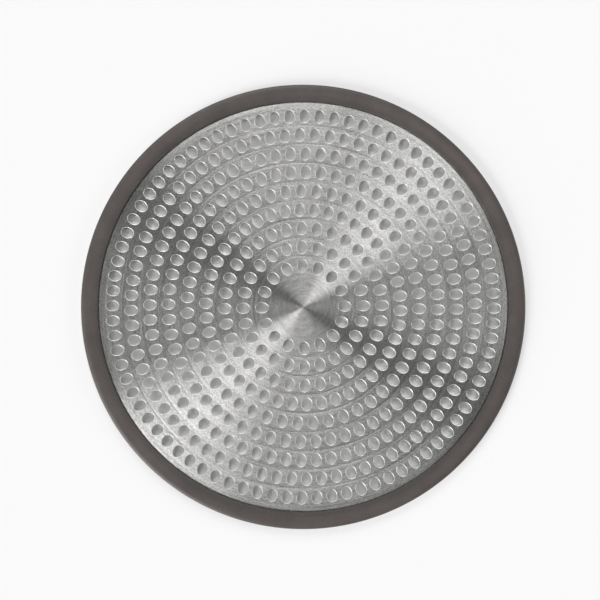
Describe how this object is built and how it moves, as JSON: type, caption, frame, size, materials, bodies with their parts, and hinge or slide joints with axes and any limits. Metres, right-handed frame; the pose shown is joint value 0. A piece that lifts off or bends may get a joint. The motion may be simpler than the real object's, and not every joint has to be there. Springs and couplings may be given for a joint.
{
  "type": "shower drain hair catcher",
  "caption": "Flat round perforated steel strainer in a soft silicone rim; lies over a shower drain and catches hair while water runs through.",
  "frame": {"origin": "centre of the foot ring's flat face, on the surface that the part lies on", "axes": "+Z up through the plate's centre, square to the plate; +X to the right and +Y up in the picture"},
  "size_m": [0.146, 0.146, 0.0031],
  "materials": {
    "brushed_steel": "circular brushed, satin",
    "silicone": "matt, warm dark grey"
  },
  "bodies": {
    "root": {"strainer_plate": "brushed_steel", "silicone_rim": "silicone"}
  },
  "joints": []
}
